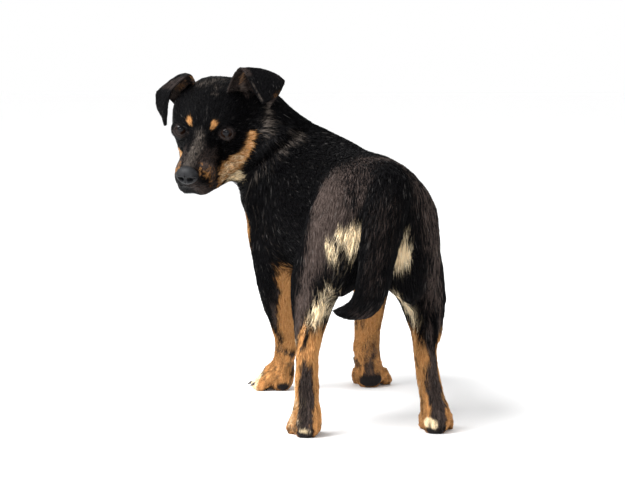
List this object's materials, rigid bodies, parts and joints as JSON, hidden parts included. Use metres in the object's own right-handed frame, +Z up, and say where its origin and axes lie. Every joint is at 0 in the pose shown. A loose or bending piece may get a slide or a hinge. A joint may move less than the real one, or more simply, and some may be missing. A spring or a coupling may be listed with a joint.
{
  "type": "dog",
  "caption": "Small black and tan dog standing still with its head turned back over its shoulder, button ears folded forward and the tail hanging",
  "frame": {"origin": "centre of the bounding box's bottom face, on the floor between the feet", "axes": "+Z up, the trunk lies along Y with the rump towards +Y and the chest towards -Y, +X is the dog's left"},
  "size_m": [0.3024, 0.4276, 0.3863],
  "materials": {
    "coat_black": "short glossy black coat, one skin and tufts of solid mesh in the visual model",
    "coat_tan": "short tan coat of the lower legs and feet",
    "nose_leather": "moist pebbled black nose leather",
    "eye": "very dark brown eye under a wet clear cornea",
    "claw": "dark horn"
  },
  "bodies": {
    "root": {"belly": "coat_black", "chest": "coat_black", "claw_fore_left_1": "claw", "claw_fore_left_2": "claw", "claw_fore_left_3": "claw", "claw_fore_left_4": "claw", "claw_fore_right_1": "claw", "claw_fore_right_2": "claw", "claw_fore_right_3": "claw", "claw_fore_right_4": "claw", "claw_hind_left_1": "claw", "claw_hind_left_2": "claw", "claw_hind_left_3": "claw", "claw_hind_left_4": "claw", "claw_hind_right_1": "claw", "claw_hind_right_2": "claw", "claw_hind_right_3": "claw", "claw_hind_right_4": "claw", "dewclaw_left": "claw", "dewclaw_right": "claw", "ear_left": "coat_black", "ear_right": "coat_black", "eye_left": "eye", "eye_right": "eye", "fore_paw_left": "coat_tan", "fore_paw_right": "coat_tan", "forearm_left": "coat_tan", "forearm_right": "coat_tan", "head": "coat_black", "hind_paw_left": "coat_tan", "hind_paw_right": "coat_tan", "hock_left": "coat_tan", "hock_right": "coat_tan", "neck": "coat_black", "nose": "nose_leather", "rump": "coat_black", "shank_left": "coat_black", "shank_right": "coat_black", "tail_middle": "coat_black", "tail_root": "coat_black", "tail_tip": "coat_black", "thigh_left": "coat_black", "thigh_right": "coat_black", "upper_arm_left": "coat_black", "upper_arm_right": "coat_black"}
  },
  "joints": []
}
